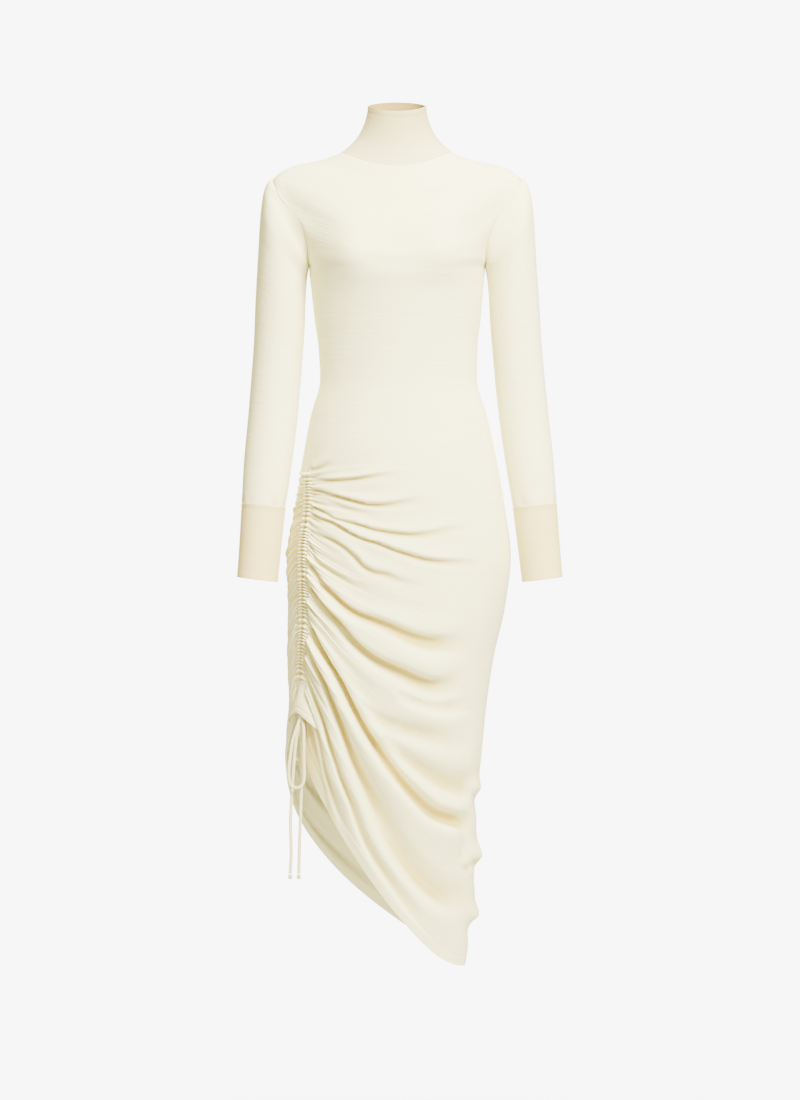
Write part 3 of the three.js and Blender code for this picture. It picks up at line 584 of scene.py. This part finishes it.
# Folds that lie on one course, from one place round the skirt to another: those that run on round the
# right side, and those of the back.
FOLDS = [
    (-1010, 0.7, 1.3, 6, 14), (-1118, 0.72, 1.35, 10, 19), (-1212, 0.72, 1.35, 10, 17),
    (-506, 2, 1.5, 4, 11), (-550, 2, 1.2, 6, 13), (-596, 2, 1.5, 5, 12), (-644, 2, 1.25, 7, 15),
    (-702, 2, 1.45, 6, 15), (-756, 2, 1.2, 8, 18), (-822, 2, 1.3, 7, 18), (-890, 2, 1.2, 9, 21),
    (-966, 2, 1.35, 8, 23), (-1048, 2, 1.25, 9, 20), (-1166, 2, 1.3, 8, 16), (-1250, 2, 1.35, 6, 14),
]


def crease_relief(across, up):
    """How far the front's creases move the cloth out, and their ridges to the side and up, for points
    as they are seen from in front."""
    relief = np.zeros(across.shape)
    lean = np.zeros((*across.shape, 2))
    for depth, near, far, over, under, rise, lasts, points in CREASES:
        line = evenly(smooth_rows(points, 8), 3)[0]
        tangent = np.gradient(line, axis=0)
        tangent /= np.linalg.norm(tangent, axis=1)[:, None]
        reach = 4 * far
        inside = (across > line[:, 0].min() - reach) & (across < line[:, 0].max() + reach)
        inside &= (up > line[:, 1].min() - reach) & (up < line[:, 1].max() + reach)
        spots = np.stack([across[inside], up[inside]], axis=1)
        nearest = np.argmin(((spots[:, None] - line[None]) ** 2).sum(axis=2), axis=1)
        off = spots - line[nearest]
        ahead = (off * tangent[nearest]).sum(axis=1)
        above = tangent[nearest, 0] * off[:, 1] - tangent[nearest, 1] * off[:, 0]
        along = (nearest + ahead / 3) / (len(line) - 1)
        width = near + (far - near) * np.clip(along, 0, 1) ** 1.7
        past = np.maximum(0, np.maximum(-along, along - 1)) * len(line) * 3
        strength = depth * (0.45 + 0.55 * smooth(along / 0.25)) * bell(past / 4)
        strength *= 1 - smooth((along - lasts) / (1 - lasts))
        slope = 2.35 - rise
        bottom = above + 1.2 * (rise - 1) * width
        hollow = bell(bottom / (width * np.where(bottom > 0, rise, slope)))
        relief[inside] -= 0.6 * strength * hollow
        for height, way, flank in ((over, 1, rise), (under, -1, slope)):
            crest = way * bottom - (0.35 + flank) * width
            ridge = height * strength * bell(crest / (width * np.where(crest > 0, 2, 0.8)))
            relief[inside] += ridge
            leaning = RIDGE_LEAN * (flank < 1.1) * way * ridge
            lean[inside, 0] += leaning * tangent[nearest, 1]
            lean[inside, 1] -= leaning * tangent[nearest, 0]
    return relief, lean


def fold_relief(course, place):
    relief = np.zeros(course.shape)
    for level, start, end, height, wide in FOLDS:
        along = (place - start) / (end - start)
        width = wide * (0.7 + 0.7 * np.clip(along, 0, 1))
        off = (course - level) / width
        ridge = bell(np.where(off < 0, 1.5, 1) * off) - 0.55 * bell(off + 1.5)
        relief += height * smooth((along - 0.1) / 0.35) * (1 - smooth((along - 0.4) / 0.6)) * ridge
    return relief


def gather_phase(course):
    """Counts the small gathers down the channel, which are unevenly wide."""
    return course / 12.6 + 0.45 * np.sin(course / 29) + 0.25 * np.sin(course / 13.7 + 1) + 0.4 * np.sin(course / 61)


def gather_relief(course, away, rise):
    """Fine gathers that run out from the channel and die away at uneven lengths."""
    start = smooth((CHANNEL_TOP - 4 - course) / 14) * (1 - smooth((ARCH_START - 20 - course) / 50))
    length = 0.035 + 0.03 * (1 + np.sin(course / 17 + 2 * np.sin(course / 71)))
    fine = rise * np.cos(2 * math.pi * gather_phase(course)) * np.exp(-away / length)
    broad = 2.0 * np.cos(2 * math.pi * (course / 24 + 0.5 * np.sin(course / 43))) * np.exp(-away / 0.12)
    return start * (fine + broad) * smooth(away / 0.012)


HEM_BAND = 14  # the hem is turned up by this much
HEM_PLACES = np.linspace(0, 1, 41)


def hem_top(place, side):
    """The course on which the turned-up hem ends, which keeps the band as wide where the cloth is gathered."""
    places = HEM_PLACES if side == "front" else 2 - HEM_PLACES
    at = lambda course: body_points(np.full(places.shape, float(course)), places, side)
    spacing = np.linalg.norm(at(HEM_LOW + 8) - at(HEM_LOW + 4), axis=1) / 4
    run = np.gradient(at(HEM_LOW + 6), places, axis=0)
    step = (at(HEM_LOW + 8) - at(HEM_LOW + 4)) / 4
    run /= np.linalg.norm(run, axis=1)[:, None]
    square = np.sqrt(np.maximum(spacing ** 2 - (step * run).sum(axis=1) ** 2, 0.02))
    away = np.abs(place - (0 if side == "front" else 2))
    return HEM_LOW + HEM_BAND / np.interp(away, HEM_PLACES, square)


def wall_piece(name, outer, inner, uv, hollow, material, tube=False, painted_inside_shade=0):
    """A closed wall of cloth from a fine outer grid and an inner one with every second row and column.
    The painted inside shade says how much shade is painted over the whole inner face."""
    size = outer.shape[0] * outer.shape[1]
    o = np.arange(size).reshape(outer.shape[:2])
    i = size + np.arange(inner.shape[0] * inner.shape[1]).reshape(inner.shape[:2])
    grids = [
        np.stack([g[:-1, :-1], g[1:, :-1], g[1:, 1:], g[:-1, 1:]], axis=-1).reshape(-1, 4) for g in (o, i)
    ]
    quads = np.concatenate([grids[0], grids[1][:, ::-1]])
    rims = [
        [o[0, 2::2], i[0, 1:], i[0, :-1], o[0, :-1:2], o[0, 1::2]],
        [o[-1, :-1:2], i[-1, :-1], i[-1, 1:], o[-1, 2::2], o[-1, 1::2]],
    ]
    if not tube:
        rims += [
            [o[:-1:2, 0], i[:-1, 0], i[1:, 0], o[2::2, 0], o[1::2, 0]],
            [o[2::2, -1], i[1:, -1], i[:-1, -1], o[:-1:2, -1], o[1::2, -1]],
        ]
    rims = np.concatenate([np.stack(rim, axis=-1) for rim in rims])
    joined = np.arange(size + i.size)
    if tube:
        joined[o[:, -1]] = o[:, 0]
        joined[i[:, -1]] = i[:, 0]
    used, joined = np.unique(joined, return_inverse=True)
    points = np.concatenate([outer.reshape(-1, 3), inner.reshape(-1, 3)])[used] * 1e-3
    painted_shade = np.concatenate([hollow.ravel(), np.full(i.size, painted_inside_shade)])[used]
    places = np.concatenate([uv.reshape(-1, 2), uv[::2, ::2].reshape(-1, 2)]) * 1e-3
    corners = np.concatenate([quads.ravel(), rims.ravel()])
    faces = joined[quads].tolist() + joined[rims].tolist()
    return new_piece(name, points, faces, corners, places, painted_shade, material)


def painted_hollow_shade(relief):
    """Painted shade, from 0 on the open cloth to 1 in a deep hollow, by how much the relief rises near and far on both
    sides.
    """
    hollow = np.zeros(relief.shape)
    for reach, rise in ((2, 9), (4, 16), (10, 18)):
        padded = np.pad(relief, ((reach, reach), (0, 0)), mode="edge")
        hollow += np.clip(((padded[: -2 * reach] + padded[2 * reach :]) / 2 - relief) / rise, 0, 0.6)
    return np.clip(hollow, 0, 1)


# Merino jersey: fine, matt and soft, with a little loose fibre on it. Its stitches are 1.6 mm wide, and
# are drawn twice as large, because the real ones are too fine to show.
# Its deep colour is painted shade, for the creases, troughs, gathers and seams.
jersey = knitted(
    "merino_jersey", "#f4f1c9", "#d2bf6e", wale=3.2e-3, course=2.6e-3, stitch=1.2e-4, streak=5e-4, sheen=0.12
)
PANEL_WIDE = 430
panel_rows = np.concatenate([
    np.linspace(NECK_SEAM + SEAM_LAP, ARMHOLE["top"], 20, endpoint=False),
    np.linspace(ARMHOLE["top"], ARMHOLE["bottom"], 34, endpoint=False),
    np.linspace(ARMHOLE["bottom"], CHANNEL_TOP, 50, endpoint=False),
    np.linspace(CHANNEL_TOP, HEM_LOW + 30, 286, endpoint=False),
    np.linspace(HEM_LOW + 30, HEM_LOW, 21),
])
column = np.linspace(0, 1, 181)
panel_columns = 0.3 * column + 0.7 * column ** 2  # closer together beside the channel
panels = {}
for side in ("front", "back"):
    places = panel_columns if side == "front" else 2 - panel_columns[::-1]
    course, place = np.meshgrid(panel_rows, places, indexing="ij")
    shift = np.array((0, SEAM_LAP / 2 if side == "front" else -SEAM_LAP / 2, 0))
    point_at = lambda u, v, side=side, shift=shift: body_points(u, v, side) + shift
    base = point_at(course, place)
    inset = np.where(armhole_depth(course) > 0, 0.04, 1e-3)
    inside = np.clip(place, places[0] + inset, places[-1] - inset)
    out = facing(point_at, course, inside)
    away = np.abs(place - (0 if side == "front" else 2))
    relief = fold_relief(course, place) + gather_relief(course, away, 2.3 if side == "front" else 4)
    if side == "front":
        nearer = EYE_AWAY * 1e3 / (EYE_AWAY * 1e3 + base[..., 1])
        seen_up = EYE_HEIGHT * 1e3 + (base[..., 2] - EYE_HEIGHT * 1e3) * nearer
        creases, lean = crease_relief(base[..., 0] * nearer, seen_up)
        held = smooth(away / 0.02) * smooth((1 - place) / 0.08)
        relief += creases * held - TUCK["depth"] * np.minimum(1, 3 * tuck_of(course, place))
        aside = np.stack([lean[..., 0], np.zeros(course.shape), lean[..., 1]], axis=-1) * held[..., None]
        base = base + aside - out * (aside * out).sum(axis=-1, keepdims=True)
    # Painted shade in the creases and troughs, by how deep they lie, and a painted shadow on the front's corner tucked
    # under the channel's wing.
    hollow = painted_hollow_shade(relief)
    if side == "front":
        hollow = np.minimum(1, hollow + 0.9 * tuck_of(course, place))
    band = hem_top(place, side) - course
    relief += 0.5 * smooth(band / 2 + 0.5) - 0.6 * bell(band / 1.2)
    outer = base + out * relief[..., None]
    inner = (base + out * (relief - WALL)[..., None])[::2, ::2]
    uv = np.stack([place * PANEL_WIDE, course], axis=-1)
    panel = wall_piece(side + "_cloth", outer, inner, uv, hollow, jersey)
    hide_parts(side + "_panel")
    panels[side] = panel

# Drawcord channel
# A narrow strip of the same jersey over the left side seam, sewn down along its edges and its middle, so
# that it makes two tunnels. The cord pulls it up into small tight gathers, down to an open arch at the hem.
CHANNEL_ROWS = 801
CHANNEL_COLUMNS = 33
TUNNEL_RISE = 3
GATHER_RISE = 4.6
STITCH_PIT = 2.6
ARCH_RISE = 9
channel_rows = np.linspace(CHANNEL_TOP - 2, HEM_LOW, CHANNEL_ROWS)
course, place = np.meshgrid(channel_rows, np.linspace(-1, 0, CHANNEL_COLUMNS), indexing="ij")
channel_at = lambda u, v: body_points(u, v, "channel")
base = channel_at(course, place)
out = facing(channel_at, course, np.clip(place, -0.98, -0.02))
across = np.abs(2 * place + 1)
gathered = smooth((course - ARCH_START - 4) / 20) * smooth((CHANNEL_TOP - 2 - course) / 8)
ripple = np.cos(2 * math.pi * gather_phase(course))
plain = 0.3 + ARCH_RISE * smooth((-1180 - course) / 110) * (1 - across ** 2) + WING["lift"] * wing_of(course, across) * (1 - 0.8 * across ** 8)
hem_line = bell((course - HEM_LOW - 17) / 2.5)
bunched = gathered * GATHER_RISE * ripple / 2
relief = plain + bunched + gathered * (
    TUNNEL_RISE * np.sin(math.pi * np.minimum(across, 1)) ** 2
    - STITCH_PIT * (0.5 - 0.5 * ripple) * bell(across / 0.13)
) - 0.7 * hem_line
outer = base + out * relief[..., None]
inner = (base + out * (plain + bunched - WALL)[..., None])[::2, ::2]
# Painted shade in the pits between the gathers, deepest along the stitched middle.
painted_pit_shade = 0.5 - 0.5 * ripple
hollow = np.clip(gathered * painted_pit_shade * (0.7 + 0.6 * bell(across / 0.16)), 0, 1)
uv = np.stack([place * 30, course], axis=-1)
channel = wall_piece("channel_cloth", outer, inner, uv, hollow, jersey)
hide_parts("drawcord_channel")

# Sleeves
# Two set-in tubes of the same jersey, each with one seam under the arm. They hang straight and smooth,
# with a few faint creases above the cuffs, where they are a little wider than those.
ARM_NAMES = ("outer", "outer_height", "inner", "inner_height", "middle", "depth", "bow")
SLEEVE_RINGS = [
    (206, -42, 142, -179.5, 8, 55, -4), (212.5, -56, 142.6, -183, 8, 58, 4), (216.5, -76, 143.4, -189, 8, 58.5, 9),
    (219.5, -102, 144.3, -198, 8, 57, 9), (221.5, -134, 145.3, -211, 8, 55, 6), (224, -178, 146.5, -231, 8, 53, 3),
    (227, -232, 147.5, -264, 9, 51, 0), (229.5, -296, 150.5, -312, 9, 48, 0), (234, -360, 154.5, -368, 7, 46, 0),
    (239, -424, 160, -429, 1, 44, 0), (244, -482, 167, -487, -8, 41.5, 0), (246.5, -532, 174, -538, -16, 39, 0),
    (247, -556, 178, -563, -20, 37.5, 0),
]
CUFF_RINGS = [
    (247.6, -556.4, 177.4, -563.4, -20, 38.1, 0), (250.5, -615, 183.5, -622, -27, 36.5, 0),
    (254, -673, 189.5, -681, -33, 35.5, 0),
]
RIGHT_ARM_LEAN = 9
HEAD_LAP = {"top": 10, "bottom": 2, "side": 2.4, "out": 0.5, "reach": 0.6}
ARM_COLUMNS = 96
arm_turns = np.linspace(0, 2 * math.pi, ARM_COLUMNS + 1)


def arm_ring(ring, turn, arm):
    outer, outer_height, inner, inner_height, middle, depth, bow = ring
    part = (1 + np.cos(turn)) / 2
    x = inner + (outer - inner) * part + bow * np.sin(turn) ** 2
    z = inner_height + (outer_height - inner_height) * part
    if arm > 0:
        x = x + RIGHT_ARM_LEAN * np.maximum(0, ARMHOLE["bottom"] - z) / 500
    square = 1 - 0.5 * smooth((outer_height + 110) / 70)
    return np.stack([arm * x, middle - depth * np.sign(np.sin(turn)) * np.abs(np.sin(turn)) ** square, z], axis=-1)


def armhole_ring(turn, arm):
    """The sleeve's sewn edge. It lies over the panels' edges by a seam's width, and further over the shoulder."""
    fall = np.where(turn > math.pi, 2 * math.pi - turn, turn)
    height = ARMHOLE["top"] + (ARMHOLE["bottom"] - ARMHOLE["top"]) * (1 - np.cos(turn)) / 2
    depth = np.where(turn <= math.pi, -1, 1) * (armhole_depth(height) + HEAD_LAP["out"] * np.sin(fall))
    height = height + HEAD_LAP["top"] * bell(fall / HEAD_LAP["reach"])
    height = height - HEAD_LAP["bottom"] * bell((math.pi - fall) / HEAD_LAP["reach"])
    ring = ring_at(height)
    depth = depth - np.where(turn <= math.pi, fullness(height, 0), 0)
    reach = (ring["left"] if arm < 0 else ring["right"]) + HEAD_LAP["out"] - HEAD_LAP["side"] * np.sin(turn) ** 2
    return np.stack([arm * reach, ring["seam"] + depth, height], axis=-1)


def tube_facing(points):
    """The directions that a tube's grid faces. Its last column lies on its first."""
    around = np.concatenate([points[:, -2:-1], points, points[:, 1:2]], axis=1)
    across = around[:, 2:] - around[:, :-2]
    down = np.gradient(points, axis=0)
    normal = np.cross(down, across)
    return normal / np.linalg.norm(normal, axis=-1, keepdims=True)


def tube_piece(name, points, relief, hollow, wall, material, painted_inside_shade=0):
    out = tube_facing(points)
    outer = points + out * relief[..., None]
    inner = (points + out * (np.minimum(relief, 0) - wall)[..., None])[::2, ::2]
    run = np.concatenate([[0], np.cumsum(np.linalg.norm(np.diff(points, axis=0), axis=2).mean(axis=1))])
    girth = np.linalg.norm(np.diff(points, axis=1), axis=2).sum(axis=1).mean()
    uv = np.stack(np.meshgrid(np.linspace(0, girth, points.shape[1]), -run), axis=-1)
    return wall_piece(name, outer, inner, uv, hollow, material, tube=True, painted_inside_shade=painted_inside_shade)


for side, arm in (("left", -1), ("right", 1)):
    turns = arm_turns if arm < 0 else arm_turns[::-1]
    rings = [armhole_ring(turns, arm)] + [arm_ring(ring, turns, arm) for ring in SLEEVE_RINGS]
    points = smooth_rows(rings, 12)[:, :]
    row = np.linspace(0, 1, len(points))[:, None] * np.ones(len(turns))
    turn = turns[None] * np.ones((len(points), 1))
    above_cuff = smooth((row - 0.93) / 0.05) * (1 - smooth((row - 0.99) / 0.01))
    relief = 0.7 * above_cuff * np.sin(9 * turn + 2 * np.sin(2 * turn)) * (0.6 + 0.4 * np.sin(3 * turn + 1))
    relief -= 0.7 * bell((turn - math.pi * (1 - 0.12)) / 0.03) * smooth(row / 0.05)
    # Painted shade in the creases above the cuff and the seam under the arm, and a band of painted shade round the
    # sleeve's head, strongest under the arm.
    hollow = np.clip(-relief / 1.5, 0, 0.5) + 1.3 * bell(row / 0.013) * smooth((0.65 - np.cos(turn)) / 1.2)
    sleeve = tube_piece(side + "_sleeve_cloth", points, relief, np.clip(hollow, 0, 1), WALL, jersey)
    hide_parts(side + "_sleeve")

# Cuffs
# Deep double cuffs in a tighter knit of a warmer, creamier yarn, linked to the sleeves' ends.
CUFF_WALL = 2.6
# Its deep colour is painted shade, for the groove near the cuff's top.
tight_knit = knitted(
    "tight_wool_rib", "#e9d79b", "#cdb267", wale=2.4e-3, course=2.2e-3, stitch=1.6e-4, streak=1e-4, sheen=0.25
)
for side, arm in (("left", -1), ("right", 1)):
    turns = arm_turns if arm < 0 else arm_turns[::-1]
    points = smooth_rows([arm_ring(ring, turns, arm) for ring in CUFF_RINGS], 24)
    row = np.linspace(0, 1, len(points))[:, None] * np.ones(len(turns))
    turn = turns[None] * np.ones((len(points), 1))
    relief = 0.5 * bell((row - 0.01) / 0.02) - 0.5 * bell((row - 0.05) / 0.015) + 0.2 * bell((row - 0.97) / 0.05)
    relief -= 0.7 * bell((turn - math.pi * (1 - 0.12)) / 0.03)
    # Painted shade in the groove near the cuff's top.
    hollow = 0.3 * bell((row - 0.05) / 0.015)
    cuff = tube_piece(side + "_cuff_cloth", points, relief, hollow, CUFF_WALL, tight_knit)
    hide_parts(side + "_cuff")

# Funnel neck
# A tapered tube in the tight knit, ivory as the body, which stands up round the neck with a turned-in rim.
COLLAR_NAMES = ("height", "half", "front", "back", "front_dip", "back_dip")
COLLAR_RINGS = [
    (81, 46.5, -49, 37, -16, 11), (69, 48.2, -50, 39, -15, 11), (56, 51.2, -51, 42, -15, 10),
    (43, 56.5, -53, 46, -17, 9), (30, 64, -56, 51, -21, 8), (18, 75, -59.5, 57.5, -25, 7),
    (6.4, 88.8, -64.1, 65.1, -29.6, 6.8),
]
# Its deep colour is painted shade, for the groove near the rim and the inner face.
ivory_rib = knitted(
    "ivory_wool_rib", "#dad5ae", "#b0965a", wale=2.4e-3, course=2.2e-3, stitch=1.4e-4, streak=1e-4, sheen=0.25
)
heights = np.linspace(COLLAR_RINGS[0][0], COLLAR_RINGS[-1][0], 49)
height, turn = np.meshgrid(heights, np.linspace(0, 2 * math.pi, 129), indexing="ij")
ring = curves_of(COLLAR_NAMES, COLLAR_RINGS)(height)
swing = np.sin(turn)
edge = 4 + (ring["front"] + ring["back"]) / 8
down = (heights[0] - height) / (heights[0] - heights[-1])
depth = np.where(swing >= 0, ring["front"], ring["back"])
points = np.stack([
    -ring["half"] * np.cos(turn),
    edge + (depth - edge) * np.abs(swing),
    height + np.where(swing >= 0, ring["front_dip"], ring["back_dip"]) * np.abs(swing) ** (1.2 + 0.8 * smooth(2 * down)),
], axis=-1)
relief = 0.3 * bell((down - 0.02) / 0.04) - 0.35 * bell((down - 0.13) / 0.02) + 0.4 * smooth((down - 0.95) / 0.05)
# Painted shade in the groove near the rim and over the whole inner face; the colour also darkens towards the rim.
hollow = 0.25 * bell((down - 0.13) / 0.03) + 0.4 * (1 - smooth((down - 0.35) / 0.6))
collar = tube_piece("collar_cloth", points, relief, hollow, WALL, ivory_rib, painted_inside_shade=1)
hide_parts("funnel_neck")

# Studio
# A plain pale floor under the dress, a pale surround, and soft light from the front right and above.
FLOOR = {"height": -1.72, "radius": 1.15}
bpy.ops.mesh.primitive_circle_add(
    vertices=96, radius=FLOOR["radius"], fill_type="NGON", location=(0, 0, FLOOR["height"])
)
floor = bpy.context.object
floor.name = "floor"
bpy.ops.object.transform_apply(location=True)
floor.select_set(False)
paint = bpy.data.materials.new("matt_pale_paint")
paint.use_nodes = True
tree = paint.node_tree
tree.nodes.clear()
position = add(tree, "ShaderNodeTexCoord").outputs["Object"]
sunk = add(tree, "ShaderNodeVectorMath", {"operation": "MULTIPLY"}, i0=position, i1=(1, 1, 0))
distance = add(tree, "ShaderNodeVectorMath", {"operation": "LENGTH"}, i0=sunk.outputs[0])
rim = add(
    tree, "ShaderNodeMapRange", Value=distance.outputs["Value"], From_Min=0.45, From_Max=FLOOR["radius"],
    To_Min=0.0, To_Max=1.0,
)
white = add(tree, "ShaderNodeBsdfPrincipled", Base_Color=linear("#f2f2f2"), Roughness=0.9)
clear = add(tree, "ShaderNodeBsdfTransparent")
faded = add(tree, "ShaderNodeMixShader", i0=rim.outputs[0], i1=white.outputs[0], i2=clear.outputs[0])
add(tree, "ShaderNodeOutputMaterial", Surface=faded.outputs[0])
floor.data.materials.append(paint)

LAMPS = [  # name, place, size in metres, watts
    ("key", (1.4, -2.8, 1.6), 1.5, 840),
    ("top", (0.3, -0.6, 2.2), 1.4, 120),
    ("fill", (-2.6, -3.0, -0.9), 2.2, 44),
    ("low", (0.2, -3.2, -2.0), 1.8, 40),
    ("back", (-0.6, 3.2, 0.8), 2.2, 260),
]
for name, place, size, watts in LAMPS:
    light = bpy.data.lights.new(name, "AREA")
    light.size = size
    light.energy = watts
    light.color = linear("#fffae4" if name == "key" else "#fff5cb")[:3]
    lamp = bpy.data.objects.new(name, light)
    lamp.location = place
    aim = np.array((0, 0, -0.6)) - np.array(place)
    yaw = math.atan2(aim[1], aim[0]) - math.pi / 2
    pitch = math.atan2(math.hypot(aim[0], aim[1]), -aim[2])
    lamp.rotation_euler = (pitch, 0, yaw)
    bpy.context.scene.collection.objects.link(lamp)

world = bpy.data.worlds.new("studio")
bpy.context.scene.world = world
world.use_nodes = True
tree = world.node_tree
tree.nodes.clear()
seen = add(tree, "ShaderNodeBackground", Color=linear("#ffffff"), Strength=8.4)
cast = add(tree, "ShaderNodeBackground", Color=linear("#fff1ac"), Strength=1.0)
path = add(tree, "ShaderNodeLightPath")
both = add(
    tree, "ShaderNodeMixShader", i0=path.outputs["Is Camera Ray"], i1=cast.outputs[0], i2=seen.outputs[0],
)
add(tree, "ShaderNodeOutputWorld", Surface=both.outputs[0])
